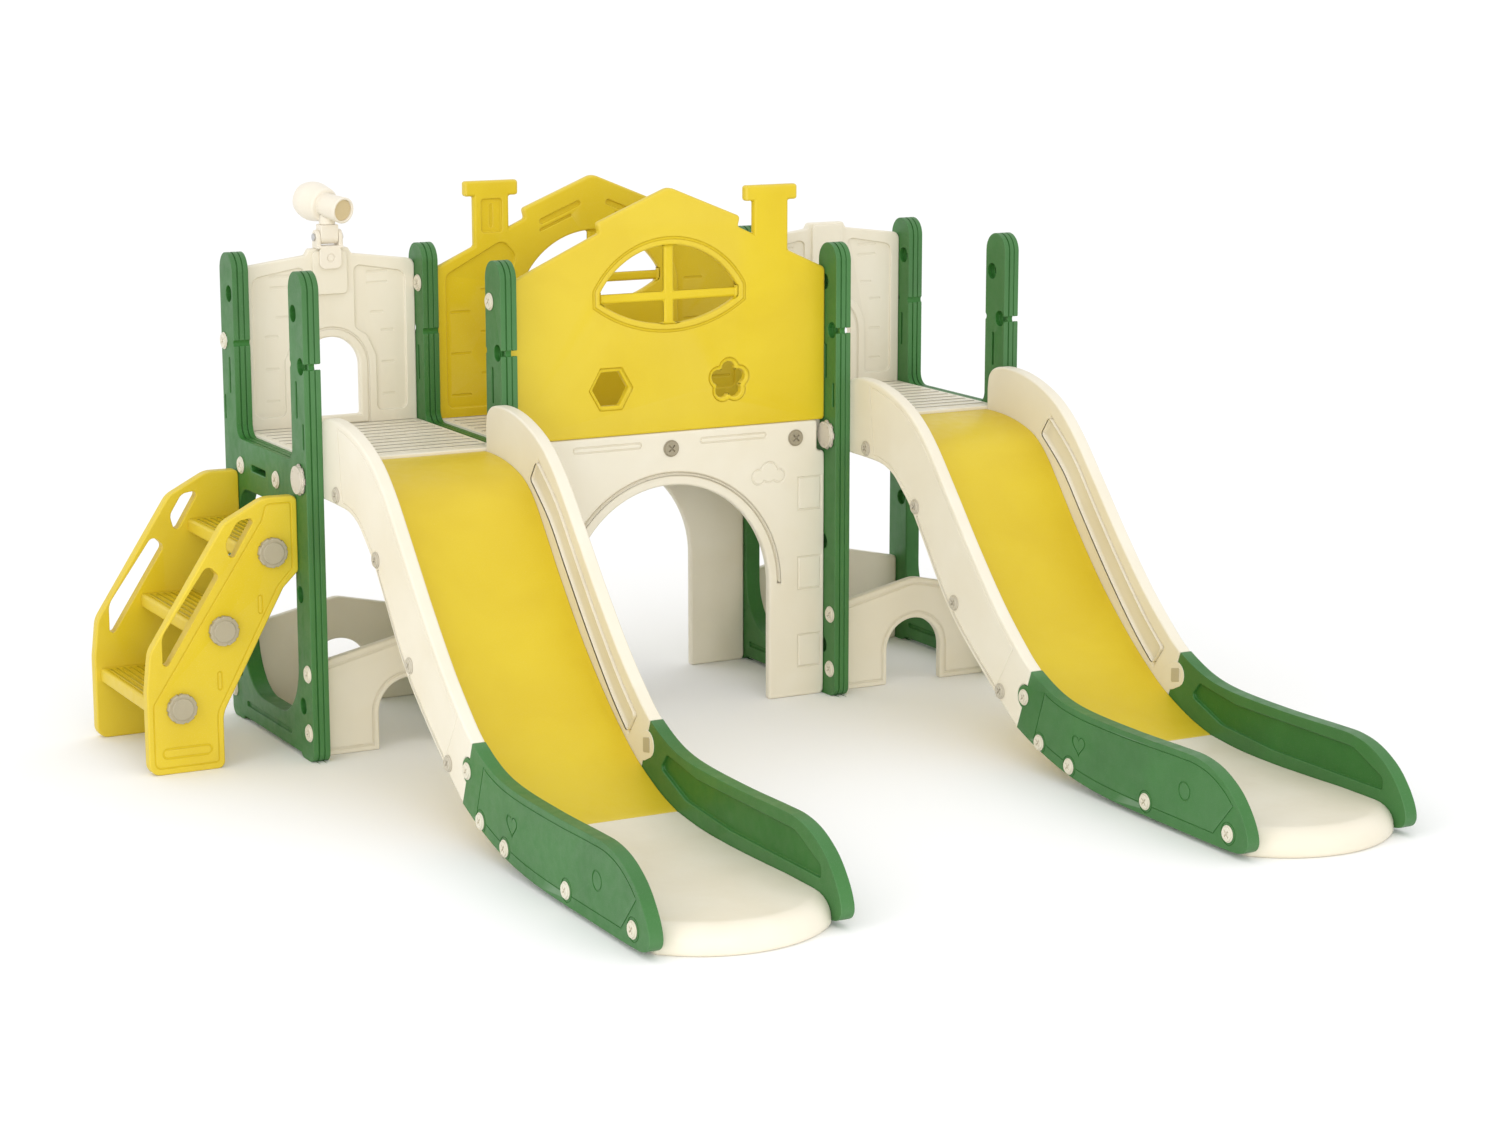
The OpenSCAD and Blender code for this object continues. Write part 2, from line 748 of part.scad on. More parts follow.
// Lines moulded into the skirt's outer face: a heart, a ring, a border and rings round the screws
skirt_line = concat(beside(part_of(skirt_edge, 6, 48), 13), beside(part_of(skirt_edge, 71, 96), 24));
skirt_rim = 4;
module skirt_motifs() {
    translate([-1042, 106]) difference() {
        polygon(heart(26));
        polygon(heart(21));
    }
    translate([-1432, 98]) difference() {
        circle(21);
        circle(17);
    }
    panel_line(skirt_line);
    intersection() {
        polygon(inside(skirt_edge, skirt_rim));
        for (spot = slide_cap_spots) if (spot != joint_tab) translate(spot) difference() {
            circle(ring_r + line_w);
            circle(ring_r);
        }
    }
}

module slide_skirt(x, side) {
    x0 = side < 0 ? x + half_t : x + tower_w - half_t - wall_t;
    inner_face = side < 0 ? x0 + wall_t - recess_t : x0 - 1;
    outer_face = side < 0 ? x0 - 1 : x0 + wall_t - line_depth;
    color(green) placed() difference() {
        along_x(x0, wall_t) skirt_outline();
        along_x(inner_face, recess_t + 1) skirt_field();
        along_x(outer_face, line_depth + 1) skirt_motifs();
    }
}

module slide_1_bed() { slide_bed(frame_x[0]); }
module slide_1_runout() { slide_runout(frame_x[0]); }
module slide_1_wall_left() { slide_wall(frame_x[0], -1); }
module slide_1_wall_right() { slide_wall(frame_x[0], 1); }
module slide_1_skirt_left() { slide_skirt(frame_x[0], -1); }
module slide_1_skirt_right() { slide_skirt(frame_x[0], 1); }
module slide_2_bed() { slide_bed(frame_x[2]); }
module slide_2_runout() { slide_runout(frame_x[2]); }
module slide_2_wall_left() { slide_wall(frame_x[2], -1); }
module slide_2_wall_right() { slide_wall(frame_x[2], 1); }
module slide_2_skirt_left() { slide_skirt(frame_x[2], -1); }
module slide_2_skirt_right() { slide_skirt(frame_x[2], 1); }

// ---------- Ladder ----------

ladder_front_y = 22;
ladder_inner_y = ladder_front_y + ladder_side_t;
ladder_back_y = ladder_inner_y + ladder_w;
ladder_right = -half_t;
tread_z = [for (i = [1:3]) i*tread_rise];
tread_mid_x = [-302, -200, -82];
rod_r = 7;
rod_drop = 17;
rod_gap = 0.3;

module ladder_side_outline() {
    difference() {
        polygon(rounded([[ladder_left, 0, 26], [-204, 0, 16], [-204, 125, 70], [-56, 395, 30],
            [ladder_right, 430, 10], [ladder_right, 600, 12], [-96, 601, 60], [-190, 552, 50],
            [-368, 278, 60], [ladder_left, 190, 60]]));
        polygon(rounded([[-340, 226, 8], [-340, 312, 46], [-231, 464, 14], [-204, 436, 12]]));
        polygon(rounded([[-116, 560, 8], [-158, 554, 24], [-188, 506, 24], [-176, 462, 8]]));
    }
}

// Border line of the outer face, which runs round the stringer and the top plate
stringer = rounded([[-366, 14, 16], [-216, 14, 10], [-216, 128, 60], [-68, 400, 26], [-33, 438, 8],
    [-33, 588, 8], [-94, 588, 14], [-104, 553, 10], [-366, 160, 20]]);
border_w = 3.5;
side_slots = [[-111, 363], [-210, 200]];

module rod_holes(y0, t, r) {
    for (i = [0:2]) rod_y([tread_mid_x[i], y0 - 1, tread_z[i] - rod_drop], r, t + 2);
}

// Side with a border line, rod holes, a long slot near the foot and two short upright ones
module ladder_side(y0, face_y) {
    color(yellow) placed() difference() {
        along_y(y0, ladder_side_t) ladder_side_outline();
        rod_holes(y0, ladder_side_t, rod_r + rod_gap);
        along_y(face_y, 3) translate([-290, 48]) difference() {
            slot(116, 26);
            slot(106, 16);
        }
        along_y(face_y, 3) difference() {
            polygon(stringer);
            polygon(inside(stringer, border_w));
        }
        along_y(face_y, 3) for (spot = side_slots) translate(spot) rotate(90) difference() {
            slot(44, 13);
            slot(37, 6);
        }
    }
}

module ladder_side_front() { ladder_side(ladder_front_y, ladder_front_y - 1); }
module ladder_side_back() { ladder_side(ladder_back_y, ladder_back_y + ladder_side_t - 2); }

// Tread with grooves along its width and a rod hole through it
module ladder_tread(i) {
    x = tread_mid_x[i];
    color(yellow) placed() difference() {
        along_y(ladder_inner_y, ladder_w)
            translate([x - tread_d/2, tread_z[i] - tread_t]) round_rect(tread_d, tread_t, 7);
        for (row = [1:7])
            translate([x - tread_d/2 + row*tread_d/8 - 2.5, ladder_inner_y + 24, tread_z[i] - 2.5])
                cube([5, ladder_w - 48, 4]);
        rod_y([x, ladder_inner_y - 1, tread_z[i] - rod_drop], rod_r + rod_gap, ladder_w + 2);
    }
}

module ladder_tread_low() { ladder_tread(0); }
module ladder_tread_middle() { ladder_tread(1); }
module ladder_tread_high() { ladder_tread(2); }

module ladder_rods() {
    color(grey) placed() for (i = [0:2])
        rod_y([tread_mid_x[i], ladder_front_y, tread_z[i] - rod_drop], rod_r, ladder_w + 2*ladder_side_t);
}

// Eight-sided nut with a groove in each corner and a round cap
nut_t = 14;
nut_cap_r = 24;
module ladder_nut(i, y, out) {
    translate([tread_mid_x[i], y, tread_z[i] - rod_drop]) rotate([90*out, 0, 0]) {
        difference() {
            rotate(10) cylinder(r = nut_d/2, h = nut_t, $fn = 8);
            for (a = [10:45:325]) rotate(a) translate([nut_d/2, 0, -1]) cylinder(r = 4, h = nut_t + 2);
        }
        cylinder(r = nut_cap_r, h = nut_t + 3);
    }
}

module ladder_nuts() {
    color(grey) placed() for (i = [0:2]) {
        ladder_nut(i, ladder_front_y, 1);
        ladder_nut(i, ladder_back_y + ladder_side_t, -1);
    }
}

// ---------- Telescope ----------

scope_x = tower_w/2;
pin_z = boss_top + 26;
bracket_t = 8;
bracket_half = 27;
ear_in = 22.5;
ear_t = 10;
ear_r = 17;
yoke_half = 22;
yoke_r = 17;
yoke_top = 29;
pin_fit = 0.05;
stem_r = 12;
socket_depth = 17;
collar_r = 19;
tube_up = 73;

module scope_bracket() {
    front = tower_back_y - boss_out - bracket_t;
    color(cream) placed() translate([scope_x, 0, 0]) difference() {
        union() {
            along_y(front, bracket_t) translate([-bracket_half, boss_top - 48])
                round_rect(2*bracket_half, 54, 14);
            translate([-ear_in - ear_t, front, boss_top])
                cube([2*(ear_in + ear_t), pin_y + ear_r - front, 6]);
            for (x0 = [-ear_in - ear_t, ear_in]) {
                translate([x0, pin_y - ear_r, boss_top]) cube([ear_t, 2*ear_r, pin_z - boss_top]);
                rod_x([x0, pin_y, pin_z], ear_r, ear_t);
            }
        }
        rod_x([-ear_in - ear_t - 1, pin_y, pin_z], tilt_pin_d/2 + pin_fit, 2*(ear_in + ear_t) + 2);
        along_y(front - 1, 3) translate([0, boss_top - 22]) difference() {
            circle(10);
            circle(7);
        }
    }
}

module scope_pin() {
    reach = ear_in + ear_t;
    color(grey) placed() translate([scope_x, pin_y, pin_z]) {
        rod_x([-reach - 4, 0, 0], tilt_pin_d/2, 2*reach + 8);
        for (x0 = [-reach - 4, reach + 0.3]) rod_x([x0, 0, 0], tilt_pin_d/2 + 4, 3.7);
    }
}

// Block that tilts on the pin and holds the stem of the telescope
module scope_yoke() {
    color(cream) placed() translate([scope_x, pin_y, pin_z]) difference() {
        union() {
            rod_x([-yoke_half, 0, 0], yoke_r, 2*yoke_half);
            translate([-yoke_half, -yoke_r, 0]) cube([2*yoke_half, 2*yoke_r, yoke_top]);
        }
        rod_x([-yoke_half - 1, 0, 0], tilt_pin_d/2 + pin_fit, 2*yoke_half + 2);
        translate([0, 0, yoke_top - socket_depth - 0.5]) cylinder(r = stem_r + pin_fit, h = socket_depth + 2);
    }
}

// Bulb, waist and eyepiece are turned about the optical axis
module scope_tube() {
    color(cream) placed() translate([scope_x, pin_y, pin_z]) {
        translate([0, 0, yoke_top - socket_depth]) cylinder(r = stem_r, h = socket_depth + 10);
        translate([0, 0, yoke_top + 0.3]) cylinder(r = collar_r, h = tube_up - yoke_top - 14);
        rotate(scope_turn) translate([0, 0, tube_up]) rotate([tube_lift - 90, 0, 0])
            rotate_extrude() polygon(tube_outline);
    }
}

// Clear disc sunk in the eyepiece
module scope_lens() {
    color(grey) placed() translate([scope_x, pin_y, pin_z])
        rotate(scope_turn) translate([0, 0, tube_up]) rotate([tube_lift - 90, 0, 0])
            translate([0, 0, 5 - eye_out]) cylinder(r = eye_d/2 - 6.3, h = 3);
}

// ---------- Fasteners ----------

// Round cap with a cross slot, lying on a face that looks along +Z
module screw_cap(d) {
    difference() {
        union() {
            cylinder(d = d, h = cap_t*0.5);
            cylinder(d = d - 6, h = cap_t);
        }
        for (a = [45, 135]) rotate(a) translate([-d*0.26, -1.7, cap_t - 4]) cube([d*0.52, 3.4, 5]);
    }
}

// Cap on a face that looks along X (side -1 or 1) or along Y
module cap_on_x(x, y, z, side, d = cap_d) {
    translate([x, y, z]) rotate([0, 90*side, 0]) screw_cap(d);
}
module cap_on_y(x, y, z, side, d = cap_d) {
    translate([x, y, z]) rotate([-90*side, 0, 0]) screw_cap(d);
}

// Spots as [y, z]: on the crossbar, at the foot of each post and at the post tops
bar_caps = [[386, 614], [150, 616]];
cap_edge = 22;
front_caps = [[-cap_edge, 202], [-cap_edge, 67]];
back_caps = [[post_gap + cap_edge, 202], [post_gap + cap_edge, 67], [post_gap + cap_edge, 893]];
top_caps = [[hole_shift, 1006], [post_gap - hole_shift, 1006]];

module frame_screws(x, side, spots) {
    color(cream) placed() for (spot = spots)
        cap_on_x(x + side*half_t, spot[0], spot[1], side);
}

module frame_screws_1() { frame_screws(frame_x[0], -1, concat(bar_caps, front_caps, back_caps)); }
module frame_screws_2() { frame_screws(frame_x[1], -1, concat(top_caps, front_caps)); }
module frame_screws_3() { frame_screws(frame_x[2], -1, front_caps); }
module frame_screws_4() { frame_screws(frame_x[3], 1, concat(bar_caps, front_caps, back_caps)); }

module arch_screws() {
    color(grey) placed() for (x = [-332, 0, 332]) {
        cap_on_y(bridge_mid + x, front_y, 636, -1);
        cap_on_y(bridge_mid + x, back_panel_y + panel_t, 636, 1);
    }
}

// Screws on the outer faces of walls and skirts
module slide_screws(x) {
    color(cream) placed() for (spot = slide_cap_spots) {
        cap_on_x(x + half_t, spot[0], spot[1], -1, cap_d*0.9);
        cap_on_x(x + tower_w - half_t, spot[0], spot[1], 1, cap_d*0.9);
    }
}

module slide_1_screws() { slide_screws(frame_x[0]); }
module slide_2_screws() { slide_screws(frame_x[2]); }

// Large clamp knob: a notched base flange and a disc with short ticks near its rim
knob_y = -5;
knob_z = 640;
flange_t = 5;
module clamp_knob(x, side) {
    translate([x, knob_y, knob_z]) rotate([0, 90*side, 0]) difference() {
        union() {
            difference() {
                cylinder(d = knob_d, h = flange_t);
                for (a = [22.5:45:337.5])
                    rotate(a) translate([knob_d/2 + 1, 0, -1]) cylinder(r = 6, h = flange_t + 2);
            }
            cylinder(d = knob_d - 8, h = knob_t);
        }
        for (a = [0:45:315])
            rotate(a) translate([knob_d*0.31, -1, knob_t - 1.5]) cube([knob_d*0.1, 2, 3]);
    }
}

// One on the outer face of each side frame, at the height of its crossbar
module clamp_knobs() {
    color(grey) placed() for (i = [0:3]) {
        side = i % 2 == 0 ? -1 : 1;
        clamp_knob(frame_x[i] + side*half_t, side);
    }
}

side_frame_1();
side_frame_2();
side_frame_3();
side_frame_4();
deck_left();
deck_house();
deck_right();
tower_panel_left();
tower_panel_right();
house_panel_front();
house_panel_back();
arch_panel_front();
arch_panel_back();
low_panel_left_front();
low_panel_left_back();
low_panel_right_front();
low_panel_right_back();
slide_1_bed();
slide_1_runout();
slide_1_wall_left();
slide_1_wall_right();
slide_1_skirt_left();
slide_1_skirt_right();
slide_2_bed();
slide_2_runout();
slide_2_wall_left();
slide_2_wall_right();
slide_2_skirt_left();
slide_2_skirt_right();
ladder_side_front();
ladder_side_back();
ladder_tread_low();
ladder_tread_middle();
ladder_tread_high();
ladder_rods();
ladder_nuts();
scope_bracket();
scope_pin();
scope_yoke();
scope_tube();
scope_lens();
clamp_knobs();
frame_screws_1();
frame_screws_2();
frame_screws_3();
frame_screws_4();
arch_screws();
slide_1_screws();
slide_2_screws();
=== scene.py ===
import json
import math

import bmesh
import bpy
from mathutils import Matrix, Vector
from mathutils.geometry import delaunay_2d_cdt
from mathutils.kdtree import KDTree


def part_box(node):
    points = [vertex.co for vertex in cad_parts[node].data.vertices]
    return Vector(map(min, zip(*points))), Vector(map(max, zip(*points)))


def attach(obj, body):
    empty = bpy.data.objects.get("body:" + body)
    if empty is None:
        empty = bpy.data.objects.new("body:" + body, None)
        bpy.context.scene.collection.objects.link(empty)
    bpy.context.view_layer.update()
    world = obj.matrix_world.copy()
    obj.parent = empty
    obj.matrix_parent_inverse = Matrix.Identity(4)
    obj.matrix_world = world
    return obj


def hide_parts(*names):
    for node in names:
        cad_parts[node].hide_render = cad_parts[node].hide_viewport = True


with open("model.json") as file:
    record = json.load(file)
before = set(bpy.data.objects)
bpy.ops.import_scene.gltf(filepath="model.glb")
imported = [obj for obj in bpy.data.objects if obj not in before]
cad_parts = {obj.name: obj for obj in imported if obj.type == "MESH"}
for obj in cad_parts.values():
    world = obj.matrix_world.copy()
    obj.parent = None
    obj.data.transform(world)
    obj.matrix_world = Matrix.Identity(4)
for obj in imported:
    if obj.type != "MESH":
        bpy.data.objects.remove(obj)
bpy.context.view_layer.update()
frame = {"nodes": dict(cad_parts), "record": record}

BODY_OF = {node: body for body, nodes in frame["record"]["behaviour"]["bodies"].items() for node in nodes}
SLOT_OF = {row["node"]: row["material_slot"] for row in frame["record"]["subparts"]}


# ---------- Materials ----------

SPECULAR = 0.32
COAT_ROUGHNESS = 0.25
PALE_STEP = 0.35
# Painted shade in grooves is the deep colour times this factor
GROOVE_SHADE_FACTOR = 0.45
# Noise scales, in waves per metre
CLOUD_SCALE = 5.0
SINK_SCALE = 14.0
GLOSS_SCALE = 38.0
GRAIN_SCALE = 620.0
SPECKLE_SCALE = 700.0
# Shares of the pale shade in speckles, and on edges as wear and painted highlight
SPECKLE_SHARE = 0.22
WORN_AND_LIT_SHARE = 0.30
# Pointiness is one half on a flat face, more on an edge and less in a groove
WORN_AND_LIT_FROM, WORN_AND_LIT_FULL = 0.515, 0.60
# Painted shade in grooves fades in between these two pointiness values
GROOVE_FULL, GROOVE_FROM = 0.40, 0.485
SINK_STRENGTH = 0.35
GRAIN_STRENGTH = 0.55


def plastic(name, colour, deep, roughness, coat=0.0, grain=0.00012, wave=0.0011, groove_shade=0.35):
    """Moulded plastic: cloudy pigment, speckle, edges lighter from wear and painted highlight, painted
    shade in grooves, sink marks and satin grain.

    grain and wave are the heights of the grain and the sink marks in metres, and the last argument is the
    share of painted shade in grooves.
    """
    material = bpy.data.materials.new(name)
    material.use_nodes = True
    tree = material.node_tree
    make, link = tree.nodes.new, tree.links.new
    shader = tree.nodes["Principled BSDF"]
    shader.inputs["Specular IOR Level"].default_value = SPECULAR
    shader.inputs["Coat Weight"].default_value = coat
    shader.inputs["Coat Roughness"].default_value = COAT_ROUGHNESS
    place = make("ShaderNodeTexCoord")

    def noise(scale, detail, distortion=0.0):
        node = make("ShaderNodeTexNoise")
        node.inputs["Scale"].default_value = scale
        node.inputs["Detail"].default_value = detail
        node.inputs["Distortion"].default_value = distortion
        link(place.outputs["Object"], node.inputs["Vector"])
        return node.outputs["Fac"]

    def remap(value, low, high, to_low, to_high):
        node = make("ShaderNodeMapRange")
        node.inputs["From Min"].default_value = low
        node.inputs["From Max"].default_value = high
        node.inputs["To Min"].default_value = to_low
        node.inputs["To Max"].default_value = to_high
        link(value, node.inputs["Value"])
        return node.outputs["Result"]

    def blend(fac, first, second):
        node = make("ShaderNodeMix")
        node.data_type = "RGBA"
        link(fac, node.inputs["Factor"])
        for socket, value in ((node.inputs["A"], first), (node.inputs["B"], second)):
            if isinstance(value, tuple):
                socket.default_value = value
            else:
                link(value, socket)
        return node.outputs["Result"]

    pale = tuple(c + PALE_STEP * (1.0 - c) for c in colour[:3]) + (1.0,)
    dark = tuple(GROOVE_SHADE_FACTOR * c for c in deep[:3]) + (1.0,)
    cloudy = blend(remap(noise(CLOUD_SCALE, 3.0, 0.4), 0.35, 0.68, 0.0, 1.0), colour, deep)
    speckled = blend(remap(noise(SPECKLE_SCALE, 2.0), 0.60, 0.78, 0.0, SPECKLE_SHARE), cloudy, pale)
    pointiness = make("ShaderNodeNewGeometry").outputs["Pointiness"]
    # Lighter edges: partly wear, partly painted highlight where light shows through the thin plastic
    worn_and_lit = blend(remap(pointiness, WORN_AND_LIT_FROM, WORN_AND_LIT_FULL, 0.0, WORN_AND_LIT_SHARE), speckled, pale)
    # Painted shade: darker colour in grooves and crevices, where shade falls
    groove_shaded = blend(remap(pointiness, GROOVE_FULL, GROOVE_FROM, groove_shade, 0.0), worn_and_lit, dark)
    link(groove_shaded, shader.inputs["Base Color"])
    patches = remap(noise(GLOSS_SCALE, 4.0), 0.3, 0.7, roughness - 0.07, roughness + 0.08)
    link(patches, shader.inputs["Roughness"])

    def bump(strength, distance, height):
        node = make("ShaderNodeBump")
        node.inputs["Strength"].default_value = strength
        node.inputs["Distance"].default_value = distance
        link(height, node.inputs["Height"])
        return node

    sink = bump(SINK_STRENGTH, wave, noise(SINK_SCALE, 1.0))
    fine = bump(GRAIN_STRENGTH, grain, noise(GRAIN_SCALE, 3.0))
    link(sink.outputs["Normal"], fine.inputs["Normal"])
    link(fine.outputs["Normal"], shader.inputs["Normal"])
    return material


def metal(name, colour, deep):
    """Zinc plate: the same surface with a coarser grain, and metallic."""
    material = plastic(name, colour, deep, 0.35, grain=0.0002)
    material.node_tree.nodes["Principled BSDF"].inputs["Metallic"].default_value = 1.0
    return material


# Painted shade in the crosses of the screw caps
CROSS_SHADE = 0.95

GREEN = plastic("green_plastic", (0.030, 0.158, 0.024, 1), (0.023, 0.128, 0.018, 1), 0.46, coat=0.03)
YELLOW = plastic("yellow_plastic", (0.680, 0.510, 0.012, 1), (0.640, 0.465, 0.008, 1), 0.44, coat=0.02)
CREAM = plastic("cream_plastic", (0.775, 0.725, 0.600, 1), (0.740, 0.680, 0.540, 1), 0.46, coat=0.02)
IVORY = plastic("ivory_plastic", (0.800, 0.745, 0.640, 1), (0.760, 0.690, 0.560, 1), 0.40, coat=0.04)
CAP = plastic("cap_plastic", (0.700, 0.660, 0.540, 1), (0.620, 0.560, 0.430, 1), 0.40, groove_shade=CROSS_SHADE)
WALL_CAP = plastic("wall_cap_plastic", (0.520, 0.480, 0.385, 1), (0.450, 0.405, 0.310, 1), 0.40,
                   groove_shade=CROSS_SHADE)
GREY = plastic("grey_plastic", (0.410, 0.365, 0.255, 1), (0.355, 0.310, 0.210, 1), 0.42)
# Darker copy of the grey for the arch screws under the house: painted shade
SHADED_GREY = plastic("shaded_grey_plastic", (0.335, 0.292, 0.200, 1), (0.285, 0.242, 0.162, 1), 0.42,
                    groove_shade=CROSS_SHADE)
PALE_GREY = plastic("pale_grey_plastic", (0.600, 0.550, 0.455, 1), (0.520, 0.465, 0.370, 1), 0.42)
CLIP = plastic("clip_plastic", (0.500, 0.450, 0.320, 1), (0.440, 0.390, 0.270, 1), 0.42)
TAN = plastic("tan_plastic", (0.640, 0.520, 0.300, 1), (0.560, 0.440, 0.240, 1), 0.35)
STEEL = metal("steel", (0.60, 0.60, 0.60, 1), (0.48, 0.48, 0.48, 1))
MATERIAL = {"green": GREEN, "yellow": YELLOW, "cream": CREAM, "cap": CAP, "grey": GREY, "tan": TAN,
            "steel": STEEL}
# The arch screws take the darker grey as painted shade under the house
OTHER_SHADE = {"clamp_knobs": PALE_GREY, "arch_screws": SHADED_GREY,
               "scope_tube": IVORY, "scope_bracket": IVORY, "scope_yoke": IVORY}


# The caps behind a slide's skirts are in its cream walls
WALL_CAP_START = {"slide_%d_screws" % n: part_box("slide_%d_skirt_left" % n)[1][1] for n in (1, 2)}


# ---------- Mouldings: CAD solids with their edges rounded ----------

MM = 0.001
MERGE = 0.01 * MM
# Edges flatter than this are dissolved, and edges sharper than this are rounded
FLAT_ANGLE = math.radians(0.4)
SHARP_ANGLE = math.radians(38)
# Share of the gap to the next chain of edges that a rounding may take: between two of a kind, and for
# an outline and a detail beside each other
EQUAL_SHARE = 0.42
OUTLINE_SHARE = 0.70
DETAIL_SHARE = 0.22
# An outline is longer than this share of the node's longest chain
OUTLINE_LENGTH = 0.35
# A rounding is no wider than this share of its chain's length
LENGTH_SHARE = 0.014
SAMPLE_STEP = 4 * MM
# Output type of the triangulation, and the gap that it closes, in metres
ALL_TRIANGLES = 0
CROSSING_GAP = 1e-6
# A face whose triangles miss its area by more than this share crosses itself
AREA_ERROR = 0.002
NORMAL_WEIGHT = 60
BEVEL_SEGMENTS = 3


def chains(edges):
    """Groups of edges that hang together."""
    left = set(edges)
    found = []
    while left:
        todo = [left.pop()]
        chain = []
        while todo:
            edge = todo.pop()
            chain.append(edge)
            for vert in edge.verts:
                for near in vert.link_edges:
                    if near in left:
                        left.discard(near)
                        todo.append(near)
        found.append(sorted(chain, key=lambda e: e.index))
    return sorted(found, key=lambda c: c[0].index)


def samples(edge):
    """Points along an edge, no further apart than the sample step."""
    a, b = edge.verts[0].co, edge.verts[1].co
    count = max(1, math.ceil((b - a).length / SAMPLE_STEP))
    return [a.lerp(b, i / count) for i in range(count + 1)]


def share(own_is_outline, other_is_outline):
    """Part of the gap between two chains that the rounding of the first one may take."""
    if own_is_outline == other_is_outline:
        return EQUAL_SHARE
    return OUTLINE_SHARE if own_is_outline else DETAIL_SHARE


def edge_widths(found, widest):
    """Rounding of each chain: wide on long outlines, narrow on details and where chains are close."""
    lengths = [sum(edge.calc_length() for edge in chain) for chain in found]
    outline = [length > OUTLINE_LENGTH * max(lengths) for length in lengths]
    points = [(p, i) for i, chain in enumerate(found) for edge in chain for p in samples(edge)]
    tree = KDTree(len(points))
    for index, (p, _) in enumerate(points):
        tree.insert(p, index)
    tree.balance()
    widths = [min(widest, LENGTH_SHARE * length) for length in lengths]
    for p, i in points:
        for _, index, gap in tree.find_range(p, widths[i] / DETAIL_SHARE):
            other = points[index][1]
            if other != i:
                widths[i] = min(widths[i], gap * share(outline[i], outline[other]))
    return widths


def turns(outline, p):
    """How many times a closed outline runs round a point, counter-clockwise."""
    count = 0
    for a, b in zip(outline, outline[1:] + outline[:1]):
        side = (b.x - a.x) * (p.y - a.y) - (p.x - a.x) * (b.y - a.y)
        if a.y <= p.y < b.y and side > 0:
            count += 1
        elif b.y <= p.y < a.y and side < 0:
            count -= 1
    return count


def fill_again(bm, face):
    """Fills a face whose outline crosses itself with the triangles that the outline runs round."""
    normal = face.normal.copy()
    across = normal.orthogonal().normalized()
    up = normal.cross(across)
    corners = list(face.verts)
    start = corners[0].co.copy()
    flat = [Vector(((v.co - start).dot(across), (v.co - start).dot(up))) for v in corners]
    points, _, triangles, sources, _, _ = delaunay_2d_cdt(flat, [], [list(range(len(flat)))], ALL_TRIANGLES,
                                                          CROSSING_GAP)
    verts = [corners[near[0]] if near else bm.verts.new(start + across * p.x + up * p.y)
             for p, near in zip(points, sources)]
    bm.faces.remove(face)
    for triangle in triangles:
        ring = [verts[i] for i in triangle]
        middle = sum((points[i] for i in triangle), Vector((0.0, 0.0))) / 3
        if turns(flat, middle) > 0 and len(set(ring)) == 3 and bm.faces.get(ring) is None:
            bm.faces.new(ring).smooth = True


def mend(mesh):
    """Refills every face of a bevelled mesh that its renderer triangles don't cover exactly."""
    mesh.calc_loop_triangles()
    covered = [0.0] * len(mesh.polygons)
    for triangle in mesh.loop_triangles:
        covered[triangle.polygon_index] += triangle.area
    crossed = [p.index for p in mesh.polygons
               if p.loop_total > 4 and abs(covered[p.index] - p.area) > AREA_ERROR * p.area]
    if not crossed:
        return
    bm = bmesh.new()
    bm.from_mesh(mesh)
    bm.faces.ensure_lookup_table()
    for face in [bm.faces[i] for i in crossed]:
        fill_again(bm, face)
    loose = [e for e in bm.edges if not e.link_faces]
    bmesh.ops.delete(bm, geom=loose, context="EDGES")
    bm.to_mesh(mesh)
    bm.free()


def moulding(node, widest):
    """A copy of a CAD node with rounded edges, which stands for the node."""
    bm = bmesh.new()
    bm.from_mesh(frame["nodes"][node].data)
    bmesh.ops.remove_doubles(bm, verts=bm.verts, dist=MERGE)
    bmesh.ops.dissolve_limit(bm, angle_limit=FLAT_ANGLE, verts=bm.verts, edges=bm.edges)
    weight = bm.edges.layers.float.new("bevel_weight_edge")
    bm.edges.index_update()
    sharp = [e for e in bm.edges if len(e.link_faces) == 2 and e.calc_face_angle() > SHARP_ANGLE]
    found = chains(sharp)
    for chain, width in zip(found, edge_widths(found, widest)):
        for edge in chain:
            edge[weight] = width / widest
    for face in bm.faces:
        face.smooth = True
    mesh = bpy.data.meshes.new(node + "_moulding")
    bm.to_mesh(mesh)
    bm.free()
    piece = bpy.data.objects.new(node + "_moulding", mesh)
    bpy.context.scene.collection.objects.link(piece)
    bevel = piece.modifiers.new("edges", "BEVEL")
    bevel.limit_method = "WEIGHT"
    bevel.width = widest
    bevel.segments = BEVEL_SEGMENTS
    bevel.use_clamp_overlap = False
    bevel.miter_outer = "MITER_SHARP"
    rounded = bpy.data.meshes.new_from_object(piece.evaluated_get(bpy.context.evaluated_depsgraph_get()))
    mend(rounded)
    piece.modifiers.remove(bevel)
    piece.data = rounded
    bpy.data.meshes.remove(mesh)
    rounded.name = node + "_moulding"
    normals = piece.modifiers.new("normals", "WEIGHTED_NORMAL")
    normals.weight = NORMAL_WEIGHT
    rounded.materials.append(OTHER_SHADE.get(node, MATERIAL[SLOT_OF[node]]))
    if node in WALL_CAP_START:
        rounded.materials.append(WALL_CAP)
        for face in rounded.polygons:
            face.material_index = int(face.center.y > WALL_CAP_START[node])
    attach(piece, BODY_OF[node])
    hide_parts(node)


